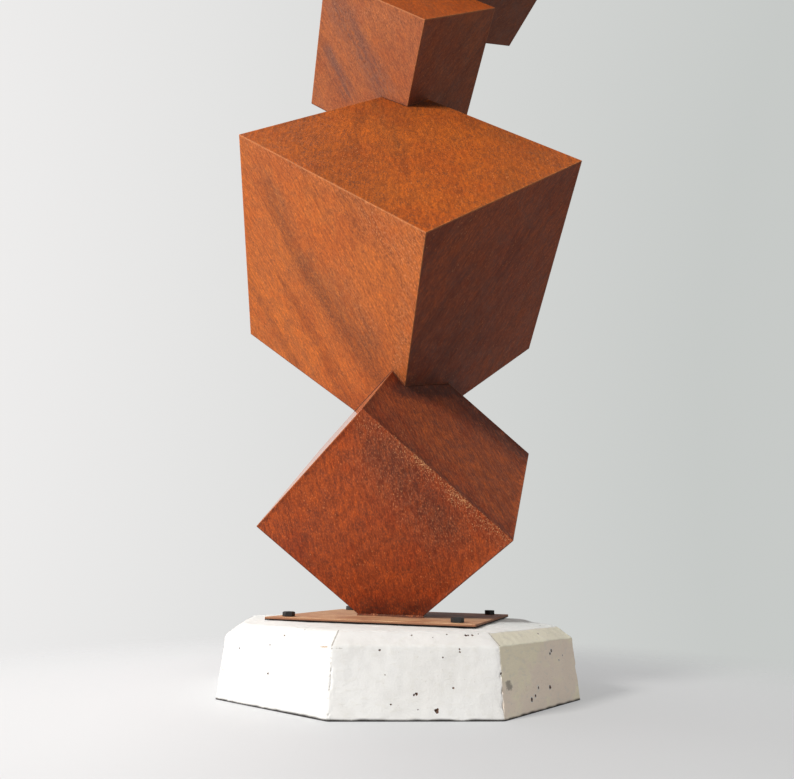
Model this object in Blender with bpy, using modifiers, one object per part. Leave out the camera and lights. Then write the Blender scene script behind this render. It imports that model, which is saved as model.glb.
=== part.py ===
"""Steel sculpture: cubes standing on their corners, each let into the one below, on a plate and a plinth.

Metres, +Z up. The origin is the centre of the plinth's underside, and the plinth's front flat faces -Y.
"""
from collections import namedtuple
from math import cos, pi, radians, sin, sqrt, tan

import bmesh
import bpy
from mathutils import Matrix, Vector

# Gap that keeps neighbouring pieces apart
GAP = 0.0003

# Plinth: an octagon with slightly sloping walls and a broad chamfer round its top
PLINTH_SIDES = 8
PLINTH_ACROSS = 0.4455
PLINTH_HEIGHT = 0.0855
WALL_SLOPE_RUN = 0.0055
CHAMFER_RUN = 0.0177
CHAMFER_DROP = 0.0132
ARRIS_WIDTH = 0.0035
ARRIS_SEGMENTS = 2

# Base plate: a square of sheet steel laid askew on the plinth
PLATE_SIDE = 0.277
PLATE_THICKNESS = 0.004
PLATE_X = 0.0066
PLATE_Y = 0.0384
PLATE_TURN = radians(-23.05)
PLATE_EDGE = 0.0004

# Bolts: hexagon heads on the plate near its corners, shanks down into the plinth
BOLT_INSET = 0.025
HEAD_ACROSS = 0.0143
HEAD_HEIGHT = 0.0060
HEAD_FACE_INSET = 0.0004
HEAD_CHAMFER = radians(30)
SHANK_DIAMETER = 0.0095
SHANK_LENGTH = 0.045
PLATE_HOLE_CLEARANCE = 0.0005
BLIND_HOLE_SPARE = 0.003
ROUND_SEGMENTS = 24
CONE_SEGMENTS = 48
# Each bolt: the sides of the plate that it is near, how far its hole strays from its mark, and its turn
Bolt = namedtuple("Bolt", "side_x side_y stray_x stray_y turn")
BOLTS = {
    "bolt_front_left": Bolt(-1, -1, -0.0023, -0.0010, radians(55)),
    "bolt_front_right": Bolt(1, -1, -0.0019, -0.0008, radians(42)),
    "bolt_back_right": Bolt(1, 1, 0.0, 0.0, radians(12)),
    "bolt_back_left": Bolt(-1, 1, 0.0, 0.0, radians(40)),
}

# Cubes: the length of an edge, the depth that the lowest corner bites into what is below, and the place of
# the centre, which stands near one upright line
LOWER_EDGE = 0.252
LOWER_BITE = 0.037
LOWER_X = 0.0087
LOWER_Y = 0.0301
LARGE_EDGE = 0.360
LARGE_BITE = 0.148
LARGE_X = 0.0046
LARGE_Y = 0.0281
SMALL_EDGE = 0.210
SMALL_BITE = 0.107
SMALL_X = -0.0044
SMALL_Y = 0.0213
TOP_EDGE = 0.325
TOP_BITE = 0.127
TOP_X = 0.1005
TOP_Y = -0.0014

# Each cube turns about the upright, then leans forward, towards -Y, and right, towards +X
Cube = namedtuple("Cube", "edge bite x y turn lean_forward lean_right")
CUBES = {
    "lower_cube": Cube(LOWER_EDGE, LOWER_BITE, LOWER_X, LOWER_Y, radians(68.5), radians(1.4), radians(2.7)),
    "large_cube": Cube(LARGE_EDGE, LARGE_BITE, LARGE_X, LARGE_Y, radians(29.5), radians(2.4), radians(0.3)),
    "small_cube": Cube(SMALL_EDGE, SMALL_BITE, SMALL_X, SMALL_Y, radians(36.7), radians(4.7), radians(-0.4)),
    "top_cube": Cube(TOP_EDGE, TOP_BITE, TOP_X, TOP_Y, radians(50.1), radians(5.4), radians(10.9)),
}
EDGE_WIDTH = 0.0008
EDGE_SEGMENTS = 2

# A tool that cuts through a piece runs past its faces by this much
OVERRUN = 0.010


def make_collection(name):
    collection = bpy.data.collections.new(name)
    bpy.context.scene.collection.children.link(collection)
    return collection


def make_material(name, colour, roughness, metallic=0.0):
    material = bpy.data.materials.new(name)
    material.use_nodes = True
    shader = material.node_tree.nodes["Principled BSDF"]
    shader.inputs["Base Color"].default_value = (*colour, 1.0)
    shader.inputs["Roughness"].default_value = roughness
    shader.inputs["Metallic"].default_value = metallic
    return material


def make_part(name, mesh, material, parent=None):
    item = bpy.data.objects.new(name, mesh)
    parts.objects.link(item)
    item.parent = parent
    mesh.materials.clear()
    mesh.materials.append(material)
    return item


def make_cutter(name, mesh, parent=None):
    item = bpy.data.objects.new(name, mesh)
    cutters.objects.link(item)
    item.parent = parent
    item.hide_render = True
    item.display_type = "WIRE"
    return item


def box_mesh(name, size_x, size_y, size_z):
    mesh = bpy.data.meshes.new(name)
    shape = bmesh.new()
    bmesh.ops.create_cube(shape, size=1.0, matrix=Matrix.Diagonal((size_x, size_y, size_z, 1.0)))
    shape.to_mesh(mesh)
    shape.free()
    return mesh


def prism_mesh(name, bottom_radius, top_radius, bottom, top, segments):
    """A round or many-sided prism between two heights, which may taper to a point."""
    mesh = bpy.data.meshes.new(name)
    shape = bmesh.new()
    bmesh.ops.create_cone(
        shape,
        cap_ends=True,
        segments=segments,
        radius1=bottom_radius,
        radius2=top_radius,
        depth=top - bottom,
        matrix=Matrix.Translation((0.0, 0.0, (top + bottom) / 2)),
    )
    shape.to_mesh(mesh)
    shape.free()
    return mesh


def add_bevel(item, width, segments):
    bevel = item.modifiers.new("edges", "BEVEL")
    bevel.width = width
    bevel.segments = segments
    bevel.limit_method = "ANGLE"
    bevel.angle_limit = radians(25)


def add_boolean(item, tool, operation="DIFFERENCE"):
    boolean = item.modifiers.new(tool.name, "BOOLEAN")
    boolean.object = tool
    boolean.operation = operation
    boolean.solver = "EXACT"


def make_plinth():
    """The top, the chamfer, the wall and the underside are one profile, turned in eight steps."""
    corner = 1 / cos(pi / PLINTH_SIDES)
    foot = PLINTH_ACROSS / 2
    belt = foot - WALL_SLOPE_RUN
    rim = belt - CHAMFER_RUN
    profile = [
        (0.0, PLINTH_HEIGHT),
        (rim * corner, PLINTH_HEIGHT),
        (belt * corner, PLINTH_HEIGHT - CHAMFER_DROP),
        (foot * corner, 0.0),
        (0.0, 0.0),
    ]
    mesh = bpy.data.meshes.new("plinth")
    edges = [(i, i + 1) for i in range(len(profile) - 1)]
    mesh.from_pydata([(x, 0.0, z) for x, z in profile], edges, [])
    plinth = make_part("plinth", mesh, white_plaster)
    plinth.rotation_euler.z = pi / PLINTH_SIDES
    screw = plinth.modifiers.new("octagon", "SCREW")
    screw.steps = PLINTH_SIDES
    screw.render_steps = PLINTH_SIDES
    screw.use_merge_vertices = True
    screw.merge_threshold = 0.00005
    screw.use_smooth_shade = False
    add_bevel(plinth, ARRIS_WIDTH, ARRIS_SEGMENTS)
    return plinth


def make_plate(frame):
    mesh = box_mesh("base_plate", PLATE_SIDE, PLATE_SIDE, PLATE_THICKNESS)
    plate = make_part("base_plate", mesh, rusty_plate, frame)
    plate.location.z = PLATE_THICKNESS / 2
    add_bevel(plate, PLATE_EDGE, 1)
    return plate


def make_bolt_mesh():
    """A hexagon prism whose top corners a wide cone takes off, joined to a plain shank."""
    corner_radius = HEAD_ACROSS / sqrt(3)
    hexagon = prism_mesh("bolt_head", corner_radius, corner_radius, 0.0, HEAD_HEIGHT, 6)
    head = make_cutter("bolt_head", hexagon)
    slope = tan(HEAD_CHAMFER)
    apex = HEAD_HEIGHT + (HEAD_ACROSS / 2 - HEAD_FACE_INSET) * slope
    cone_mesh = prism_mesh("head_cone", (apex + OVERRUN) / slope, 0.0, -OVERRUN, apex, CONE_SEGMENTS)
    cone = make_cutter("head_cone", cone_mesh)
    radius = SHANK_DIAMETER / 2
    shank_mesh = prism_mesh("shank", radius, radius, -SHANK_LENGTH, HEAD_HEIGHT / 2, ROUND_SEGMENTS)
    shank = make_cutter("shank", shank_mesh)
    add_boolean(head, cone, "INTERSECT")
    add_boolean(head, shank, "UNION")
    bpy.context.view_layer.update()
    evaluated = head.evaluated_get(bpy.context.evaluated_depsgraph_get())
    mesh = bpy.data.meshes.new_from_object(evaluated)
    mesh.name = "bolt"
    for helper in (head, cone, shank):
        bpy.data.objects.remove(helper)
    return mesh


def add_bolts(frame, plate, plinth):
    """Each bolt sits on the plate, passes through it with clearance and ends in a hole in the plinth."""
    mesh = make_bolt_mesh()
    shank = SHANK_DIAMETER / 2
    wide = shank + PLATE_HOLE_CLEARANCE
    plate_hole = prism_mesh("plate_hole", wide, wide, -OVERRUN, PLATE_THICKNESS + OVERRUN, ROUND_SEGMENTS)
    snug = shank + GAP
    head_seat = PLATE_THICKNESS + GAP
    hole_foot = head_seat - SHANK_LENGTH - BLIND_HOLE_SPARE
    plinth_hole = prism_mesh("plinth_hole", snug, snug, hole_foot, OVERRUN, ROUND_SEGMENTS)
    reach = PLATE_SIDE / 2 - BOLT_INSET
    for name, bolt in BOLTS.items():
        item = make_part(name, mesh, black_steel, frame)
        x = bolt.side_x * reach + bolt.stray_x
        y = bolt.side_y * reach + bolt.stray_y
        item.location = (x, y, head_seat)
        item.rotation_euler.z = bolt.turn
        for body, hole in ((plate, plate_hole), (plinth, plinth_hole)):
            tool = make_cutter(f"{body.name}_{name}_hole", hole, frame)
            tool.location = (x, y, 0.0)
            add_boolean(body, tool)


def cube_rotation(cube):
    """The matrix's columns are the three edges that rise from the lowest corner, a third of a turn apart."""
    headings = [cube.turn + i * 2 * pi / 3 for i in range(3)]
    edges = [Vector((sqrt(2 / 3) * cos(a), sqrt(2 / 3) * sin(a), sqrt(1 / 3))) for a in headings]
    standing = Matrix(edges).transposed()
    forward = Matrix.Rotation(cube.lean_forward, 3, "X")
    right = Matrix.Rotation(cube.lean_right, 3, "Y")
    return right @ forward @ standing


def place(item, rotation, centre):
    item.location = centre
    item.rotation_euler = rotation.to_euler()


def add_cubes(floor):
    """Stacks the cubes from the floor height up, and cuts each one for what it meets."""
    surface = floor
    below = None
    for name, cube in CUBES.items():
        rotation = cube_rotation(cube)
        half_diagonal = rotation @ Vector((cube.edge, cube.edge, cube.edge)) / 2
        centre = Vector((cube.x, cube.y, surface - cube.bite + half_diagonal.z))
        item = make_part(name, box_mesh(name, cube.edge, cube.edge, cube.edge), weathering_steel)
        place(item, rotation, centre)
        add_bevel(item, EDGE_WIDTH, EDGE_SEGMENTS)
        if below is None:
            depth = cube.bite + OVERRUN
            tool = make_cutter("foot_cut", box_mesh("foot_cut", 2 * cube.edge, 2 * cube.edge, depth))
            tool.location = (cube.x, cube.y, floor + GAP - depth / 2)
            add_boolean(item, tool)
        else:
            grown = cube.edge + 2 * GAP
            tool = make_cutter(f"{name}_socket", box_mesh(f"{name}_socket", grown, grown, grown))
            place(tool, rotation, centre)
            add_bevel(tool, EDGE_WIDTH + GAP, EDGE_SEGMENTS)
            add_boolean(below, tool)
        surface = centre.z + half_diagonal.z
        below = item


for old in list(bpy.data.objects):
    bpy.data.objects.remove(old)

parts = make_collection("corner_cube_sculpture")
cutters = make_collection("cutters")
white_plaster = make_material("white_plaster", (0.80, 0.79, 0.76), 0.75)
rusty_plate = make_material("rusty_plate", (0.36, 0.15, 0.075), 0.8)
weathering_steel = make_material("weathering_steel", (0.33, 0.115, 0.045), 0.75)
black_steel = make_material("black_steel", (0.02, 0.021, 0.022), 0.45, 0.6)

plate_frame = bpy.data.objects.new("plate_frame", None)
parts.objects.link(plate_frame)
plate_frame.location = (PLATE_X, PLATE_Y, PLINTH_HEIGHT + GAP)
plate_frame.rotation_euler.z = PLATE_TURN

plinth = make_plinth()
plate = make_plate(plate_frame)
add_bolts(plate_frame, plate, plinth)
add_cubes(PLINTH_HEIGHT + GAP + PLATE_THICKNESS)
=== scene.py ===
"""Looks of the corner-cube sculpture: rusty welded cubes, their plate and bolts, and the cast plinth."""

from collections import namedtuple
from math import atan2, cos, pi, radians, sin, tau

import bmesh
import bpy
import numpy as np
from mathutils import Matrix, Vector
from mathutils.bvhtree import BVHTree


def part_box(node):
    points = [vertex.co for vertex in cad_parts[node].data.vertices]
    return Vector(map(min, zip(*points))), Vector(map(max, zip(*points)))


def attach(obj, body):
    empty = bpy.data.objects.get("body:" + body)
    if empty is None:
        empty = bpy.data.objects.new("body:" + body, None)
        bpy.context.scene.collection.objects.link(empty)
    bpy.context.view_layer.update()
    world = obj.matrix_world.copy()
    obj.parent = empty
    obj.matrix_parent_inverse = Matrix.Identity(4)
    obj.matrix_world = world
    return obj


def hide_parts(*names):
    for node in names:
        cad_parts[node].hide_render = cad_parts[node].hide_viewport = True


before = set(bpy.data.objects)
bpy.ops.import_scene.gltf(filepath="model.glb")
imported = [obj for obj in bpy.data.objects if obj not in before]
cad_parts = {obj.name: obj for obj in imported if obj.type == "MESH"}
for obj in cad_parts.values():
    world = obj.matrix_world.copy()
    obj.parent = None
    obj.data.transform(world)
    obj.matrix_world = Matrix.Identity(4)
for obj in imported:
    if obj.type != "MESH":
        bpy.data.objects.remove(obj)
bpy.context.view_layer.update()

# Photograph and camera: the place in metres, turns in degrees, the rest in pixels of the 794 by 779 frame
PHOTO_WIDTH = 794
PHOTO_HEIGHT = 779
CAMERA_PLACE = Vector((-0.1045, -0.9769, 0.1411))
CAMERA_HEADING = radians(-5.461)
CAMERA_PITCH = radians(16.06)
CAMERA_ROLL = radians(-1.036)
FOCAL_PIXELS = 676.4
CENTRE_X = 391.8
CENTRE_Y = 383.2
SENSOR_WIDTH = 36.0

# Light: a window on the left and in front, low, and a fill from behind on the left, above.
# The backdrop and the floor are brighter on the left than on the right
Light = namedtuple("Light", "name direction distance size power colour")
LIGHTS = (
    Light("window", Vector((-0.74, -0.56, 0.37)), 3.2, 0.75, 118.0, (1.0, 0.985, 0.96)),
    Light("fill", Vector((-0.5, 0.55, 0.67)), 3.4, 3.0, 34.0, (1.0, 0.99, 0.98)),
)
LIT_PLACE = Vector((0.0, 0.0, 0.5))
ROOM_LIGHT_LEFT = (0.42, 0.42, 0.42)
ROOM_LIGHT_RIGHT = (0.357, 0.3528, 0.3444)
BACKDROP_LEFT = (0.86, 0.85, 0.845)
BACKDROP_RIGHT = (0.57, 0.59, 0.575)
FLOOR_LEFT = (0.43, 0.43, 0.435)
FLOOR_RIGHT = (0.28, 0.285, 0.29)
FLOOR_RADIUS = 2.2

# Cubes: the sheets are dished a little between seams that stand proud, and their edges are ground round
SEAM_RADIUS = 0.001
SEAM_PROUD = 0.0003
SEAM_WIDTH = 0.01
FLAKY_SEAM_PROUD = 0.0011
FLAKY_SEAM_WIDTH = 0.012
SHEET_WAVE = 0.0005
SHEET_WAVELENGTH = 0.16
WAVE_FADE = 0.03
SHEET_STEP = 0.005
SEAM_STATIONS = (0, 0.25, 0.5, 0.75, 1.0, 1.6, 2.6, 4.0, 6.0, 8.5)
SOCKET_GAP = 0.0003
CUBE_CREASE = radians(40)
BEAD_RADIUS = 0.0008
BEAD_STEP = 0.0014
FOOT_BEAD_RADIUS = 0.002
FLAKE_SIZE = 0.00075
FLAKE_DENSITY = 700000.0

# Stains on the cubes' sheets, with painted shade and painted shadow near their joints and on the sheet away
# from the light, and a painted sheen on the lower cube's strip, as strokes in the photograph's pixels: from x
# and y to x and y, width, amount.
# A sheet is an axis of its cube and a side
LOWER = "lower_cube"
LARGE = "large_cube"
SMALL = "small_cube"
FRONT = (0, -1)
DARK = (1, -1)
TOP = (2, 1)
STRIP = (1, 1)
STROKE_KINDS = ("bloom", "dark", "glow", "pale", "polish")
STAIN_AND_SHADE_STROKES = {
    ("bloom", LARGE, FRONT): ((305, 262, 372, 345, 26, 0.55), (262, 168, 290, 230, 12, 0.45)),
    ("bloom", LARGE, TOP): ((372, 108, 396, 142, 20, 0.4), (478, 120, 540, 152, 18, 0.4)),
    ("bloom", SMALL, FRONT): ((329, 52, 348, 94, 12, 0.95), (338, 8, 384, 90, 21, 0.85)),
    ("bloom", LOWER, FRONT): ((386, 452, 436, 535, 38, 0.42),),
    ("bloom", LOWER, TOP): ((372, 402, 420, 446, 16, 0.45),),
    ("dark", LARGE, FRONT): (
        (264, 184, 299, 260, 10, 0.6), (299, 260, 377, 379, 13, 0.7), (340, 193, 358, 237, 8, 0.4),
        (392, 372, 404, 383, 4, 0.6),
    ),
    # Dark on the large cube's top: the last stroke is the small cube's painted shadow
    ("dark", LARGE, TOP): (
        (300, 130, 345, 180, 40, 0.45), (345, 150, 372, 200, 26, 0.35), (410, 103, 446, 104, 6, 2.2),
    ),
    # Painted shade on the large cube's sheet that faces away from the light, strongest at its foot by the
    # lower cube
    ("dark", LARGE, DARK): (
        (412, 384, 446, 386, 32, 1.1), (420, 374, 466, 332, 52, 0.5), (430, 240, 500, 300, 40, 0.2),
    ),
    ("dark", LOWER, FRONT): (
        (366, 611, 426, 612, 19, 1.35), (382, 450, 448, 526, 30, 0.85), (366, 424, 400, 450, 9, 0.4),
    ),
    # Painted shade along the lower cube's ridge and by its joint, and the large cube's painted shadow on its
    # top
    ("dark", LOWER, TOP): (
        (364, 407, 512, 538, 5, 0.6), (448, 386, 528, 450, 24, 1.4), (404, 386, 470, 390, 20, 2.2),
    ),
    ("dark", SMALL, FRONT): ((336, 8, 352, 40, 12, 0.22), (384, 96, 404, 105, 4, 0.6)),
    # Painted shade at the foot of the small cube's sheet that faces away from the light
    ("dark", SMALL, DARK): ((412, 106, 446, 108, 22, 0.8),),
    ("glow", LARGE, FRONT): (
        (245, 190, 256, 330, 16, 0.45), (300, 190, 330, 262, 20, 0.45), (262, 290, 340, 380, 24, 0.55),
    ),
    ("glow", LARGE, TOP): ((470, 160, 440, 215, 50, 0.55), (410, 130, 414, 210, 10, 0.35)),
    ("glow", LARGE, DARK): ((432, 262, 446, 240, 18, 0.45),),
    ("glow", SMALL, FRONT): ((366, 30, 396, 84, 10, 0.5), (320, 70, 318, 100, 10, 0.3)),
    ("glow", LOWER, FRONT): ((352, 424, 284, 520, 34, 0.95), (340, 450, 352, 505, 30, 0.7)),
    ("glow", LOWER, TOP): ((430, 430, 470, 475, 22, 0.55), (486, 500, 496, 514, 14, 0.55)),
    ("pale", LARGE, FRONT): (
        (248, 140, 420, 232, 9, 0.45), (366, 212, 408, 262, 20, 0.55), (412, 240, 398, 376, 14, 0.55),
        (336, 262, 372, 330, 18, 0.3),
    ),
    ("pale", LOWER, FRONT): ((366, 426, 506, 540, 18, 0.4), (372, 462, 446, 530, 40, 0.35)),
    ("pale", SMALL, FRONT): ((330, 6, 402, 20, 12, 0.35),),
    # A painted sheen on the lower cube's strip, which is also smoother there
    ("polish", LOWER, STRIP): ((258, 526, 391, 372, 40, 1),),
}

# Plinth: the same outline as the solid, with worn and chipped arrises
PLINTH_SIDES = 8
WALL_SLOPE_RUN = 0.0055
CHAMFER_RUN = 0.0177
CHAMFER_DROP = 0.0132
ARRIS_SOFTNESS = 0.0006
CHIP_WIDTH = 0.0014
CHIP_DEPTH = 0.0022
CHIP_LENGTH = 0.014
PLINTH_STEP = 0.0028
PLINTH_ARRIS_STEP = 0.001
PLASTER_WAVE = 0.0004
PLINTH_CREASE = radians(48)
HIDDEN_PITS = 46
HIDDEN_PIT_RADII = (0.0007, 0.0016)
# The painted shade line along the plinth's foot: the heights where it fades out, and how much it wavers
FOOT_LINE = (0.001, 0.0034)
FOOT_LINE_RIPPLE = 0.0005

# Pits in the plinth's visible faces: where each lies in the photograph and how wide it is, in pixels
PITS = (
    (411.7, 635.4, 1.7), (432.7, 637.2, 1.3), (446.8, 634.4, 1.7), (465.9, 635.3, 2.7),
    (468.1, 635.4, 2), (472.4, 635.3, 2.6), (478.3, 634, 1.3), (379.6, 650.2, 2.2), (459.6, 649.4, 1.7),
    (459.9, 652.1, 1.8), (442.8, 657.5, 1.6), (385, 674.9, 1.2), (453.3, 688.1, 2), (414, 694.9, 2),
    (416.4, 694.2, 2.6), (390.8, 704.5, 1.7), (418, 709.6, 1.3), (436.7, 710.7, 4.2),
    (284.6, 635.4, 1.6), (304.8, 629.7, 1.2), (270, 644.9, 1.6), (239.5, 648.2, 1.4), (268, 673.4, 1.9),
    (551.2, 650.5, 2.5), (549.9, 653.4, 2.3), (562.6, 655.2, 1.2), (558.9, 660, 1.3), (550.2, 687, 3.8),
    (538.5, 687.9, 2.4), (535.5, 695.8, 2.5), (531.8, 699.5, 3.6), (538, 633.8, 2), (540, 625.4, 1.8),
    (501, 673.5, 2.2),
)

# Dirt, painted shade along the plinth's foot and brown stains on the plinth, as strokes like those of the
# cubes
PLINTH_MARKS = {
    "dirt_and_shade": (
        (338.5, 630.5, 331.5, 646, 1.6, 0.85), (331.3, 646.7, 328.5, 690, 3, 0.42),
        (328.5, 690, 325, 720, 3, 0.36), (500.5, 646.5, 503.5, 684, 2, 0.3),
        (503.5, 684, 507, 720, 2, 0.22), (488.6, 632.4, 500, 645.4, 1.3, 0.65),
        (331, 648.5, 342, 648.2, 1.4, 0.6), (508.5, 683, 510.5, 688, 6, 0.9),
        (221, 667, 225, 674, 5, 0.45), (330, 690, 343, 706, 9, 0.22),
        # The strokes along the plinth's bottom edge are painted shade
        (340, 720.5, 400, 721.5, 1.8, 0.4), (240, 623, 246, 627, 4, 0.25),
        (499, 714, 506, 715, 4, 0.35),
    ),
    "stain": (
        (320.5, 646.6, 327, 647, 1.8, 0.95), (329, 646.8, 341, 647.2, 1.4, 0.5),
        (498, 644, 502, 648, 2.5, 0.35), (515, 636, 565, 634, 6, 0.3), (520, 690, 570, 680, 22, 0.28),
    ),
}

# Tacks of weld that show at the lower cube's foot: where each starts and ends, in pixels
FOOT_TACKS = (
    ((371.5, 616.0), (377.5, 616.3)),
    ((405.5, 617.0), (413.0, 617.3)),
    ((416.5, 617.4), (419.5, 617.5)),
)
TACK_RADIUS = 0.0019

# The plate's upper face, in metres above the floor, and the turn of its streaks
PLATE_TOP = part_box("base_plate")[1][2]
PLATE_TURN = radians(23)


def make_mesh(name, points, faces, edges=()):
    mesh = bpy.data.meshes.new(name)
    mesh.from_pydata(np.asarray(points).tolist(), edges, np.asarray(faces).tolist())
    mesh.validate()
    return mesh


def add_object(name, data):
    added = bpy.data.objects.new(name, data)
    bpy.context.scene.collection.objects.link(added)
    return added


def make_piece(name, mesh, *materials):
    piece = add_object(name, mesh)
    mesh.materials.clear()
    for material in materials:
        mesh.materials.append(material)
    return piece


def bake(piece):
    """Turns a piece with live modifiers into a plain mesh and removes the modifiers."""
    bpy.context.view_layer.update()
    evaluated = piece.evaluated_get(bpy.context.evaluated_depsgraph_get())
    mesh = bpy.data.meshes.new_from_object(evaluated)
    piece.modifiers.clear()
    old = piece.data
    piece.data = mesh
    bpy.data.meshes.remove(old)


def cut(piece, tool, solver="EXACT"):
    boolean = piece.modifiers.new(tool.name, "BOOLEAN")
    boolean.object = tool
    boolean.operation = "DIFFERENCE"
    boolean.solver = solver
    bake(piece)
    bpy.data.objects.remove(tool)


def ripples(points, wavelength, seed, waves=14):
    """Smooth random waves of about one wavelength over an array of points, mostly between -1 and 1."""
    chance = np.random.default_rng(seed)
    directions = unit(chance.normal(size=(waves, 3)))
    lengths = wavelength * chance.uniform(0.7, 1.5, waves)
    phases = chance.uniform(0, tau, waves)
    angles = points @ (directions / lengths[:, None]).T * tau + phases
    return np.sin(angles).sum(axis=1) / np.sqrt(waves)


def unit(vectors):
    return vectors / np.linalg.norm(vectors, axis=1)[:, None]


def ease(low, high, values):
    """0 below low, 1 above high and a smooth step between."""
    t = np.clip((values - low) / (high - low), 0.0, 1.0)
    return t * t * (3 - 2 * t)


class Value:
    """A node socket that Python's operators turn into Math nodes."""

    def __init__(self, tree, socket):
        self.tree = tree
        self.socket = socket

    def math(self, operation, *others):
        sockets = dict(enumerate((self, *others)))
        return self.tree.node("ShaderNodeMath", {"operation": operation}, sockets)

    def beside(self, output):
        """Another output of the same node."""
        return Value(self.tree, self.socket.node.outputs[output])

    def __add__(self, other):
        return self.math("ADD", other)

    def __sub__(self, other):
        return self.math("SUBTRACT", other)

    def __rsub__(self, other):
        return self.math("MULTIPLY_ADD", -1.0, other)

    def __mul__(self, other):
        return self.math("MULTIPLY", other)

    __radd__ = __add__
    __rmul__ = __mul__


class Tree:
    """A node tree, and the ways to fill it."""

    def __init__(self, tree):
        self.nodes = tree.nodes
        self.links = tree.links

    def node(self, kind, settings, sockets, output=0):
        """Any node: its type, its settings, then the values or links of its sockets by name or number."""
        node = self.nodes.new(kind)
        for name, setting in settings.items():
            setattr(node, name, setting)
        for name, item in sockets.items():
            self.feed(node.inputs[name], item)
        return Value(self, node.outputs[output])

    def feed(self, socket, item):
        """Links a socket to a value, or sets its constant."""
        if isinstance(item, Value):
            self.links.new(item.socket, socket)
        elif socket.type == "RGBA" and len(item) == 3:
            socket.default_value = (*item, 1.0)
        else:
            socket.default_value = item

    def step(self, value, low, high):
        """0 at low, 1 at high and a smooth step between; low may be above high."""
        sockets = {"Value": value, "From Min": low, "From Max": high}
        if low > high:
            sockets = {"Value": value, "From Min": high, "From Max": low, "To Min": 1.0, "To Max": 0.0}
        return self.node("ShaderNodeMapRange", {"interpolation_type": "SMOOTHSTEP"}, sockets)

    def mix(self, factor, first, second, blend="MIX"):
        settings = {"data_type": "RGBA", "blend_type": blend}
        return self.node("ShaderNodeMix", settings, {0: factor, 6: first, 7: second}, 2)

    def axis(self, vector, letter):
        return self.node("ShaderNodeSeparateXYZ", {}, {0: vector}, letter)

    def layers(self, colour, *coats, blend="MIX"):
        """Coats of colour laid one on another, each with its factor."""
        for factor, coat in coats:
            colour = self.mix(factor, colour, coat, blend)
        return colour


class Shader(Tree):
    """One material, and what its nodes read."""

    def __init__(self, name, **constants):
        self.material = bpy.data.materials.new(name)
        self.material.use_nodes = True
        super().__init__(self.material.node_tree)
        self.finish(**constants)

    def places(self, name=None):
        """Places on the piece, or those that a named attribute holds."""
        if name:
            return self.node("ShaderNodeAttribute", {"attribute_name": name}, {}, "Vector")
        return self.node("ShaderNodeTexCoord", {}, {}, "Object")

    def attribute(self, name):
        return self.node("ShaderNodeAttribute", {"attribute_name": name}, {}, "Fac")

    def mapped(self, vector, scale=(1, 1, 1), turn=(0, 0, 0), shift=(0, 0, 0)):
        sockets = {"Vector": vector, "Scale": scale, "Rotation": turn, "Location": shift}
        return self.node("ShaderNodeMapping", {}, sockets)

    def noise(self, vector, size, detail=3.0, roughness=0.6, distortion=0.0):
        """Noise between about 0.3 and 0.7 whose patches are as wide as the size, in metres."""
        sockets = {"Vector": vector, "Scale": 1 / size, "Detail": detail, "Roughness": roughness}
        return self.node("ShaderNodeTexNoise", {}, {**sockets, "Distortion": distortion})

    def bump(self, height):
        """The normal of a surface whose relief is a height in metres."""
        return self.node("ShaderNodeBump", {}, {"Height": height, "Distance": 1.0, "Strength": 1.0})

    def finish(self, **sockets):
        """Feeds the surface's sockets, an underscore for each space in their names."""
        surface = self.nodes["Principled BSDF"]
        for name, item in sockets.items():
            self.feed(surface.inputs[name.replace("_", " ")], item)
        return self.material


# Rust colours of the cubes and the plate, a painted sheen for the lower cube's strip, a dark for rust and
# painted shade, painted shade and shadow for the plate, and tints that redden, darken, grey or warm what lies
# under them
RUST_FLECK = (0.68, 0.33, 0.14)
RUST_PALE = (0.52, 0.22, 0.115)
STRIP_SHEEN = (0.54, 0.25, 0.14)
RUST_AND_SHADE_DARK = (0.07, 0.03, 0.021)
PLATE_DULL = (0.5, 0.245, 0.125)
PLATE_PALE = (0.7, 0.455, 0.26)
PLATE_SHADED = (0.13, 0.045, 0.035)
PLATE_PATCH = (0.41, 0.18, 0.11)
PLATE_SAWN_AND_SHADE = (0.26, 0.115, 0.065)
PLATE_FOOT = (0.01, 0.006, 0.005)
REDDER = (0.8, 0.58, 0.56)
BROWNER = (0.62, 0.62, 0.74)
DARKER = (0.36, 0.38, 0.6)
WARMER = (1.22, 1.18, 0.92)
BRIGHTER = (1.42, 1.4, 1.25)
DULLER = (0.62, 0.86, 1.5)

# Each cube's rust: the colours of the sheets that face down, away from the light and up, the one away from
# the light darker as painted shade and those facing up toned as painted light and shade, and then how much of
# it is red, brown runs, bloom and flecks
Finish = namedtuple("Finish", "name lower sheltered upper red brown bloom flecks seed")
FINISHES = {
    LOWER: Finish(
        "deep_rust", (0.305, 0.058, 0.016), (0.22, 0.05, 0.019), (0.34, 0.076, 0.025),
        0.5, 0.3, 0.3, 0.7, 3.0,
    ),
    LARGE: Finish(
        "orange_rust", (0.47, 0.126, 0.031), (0.21, 0.044, 0.014), (0.36, 0.08, 0.009),
        0.35, 0.55, 0.6, 0.5, 11.0,
    ),
    SMALL: Finish(
        "pale_rust", (0.37, 0.112, 0.043), (0.215, 0.054, 0.018), (0.33, 0.066, 0.008),
        0.3, 0.45, 0.6, 0.35, 23.0,
    ),
    "top_cube": Finish(
        "brown_rust", (0.33, 0.095, 0.034), (0.145, 0.036, 0.013), (0.3, 0.066, 0.01),
        0.3, 0.45, 0.5, 0.35, 37.0,
    ),
}


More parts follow.
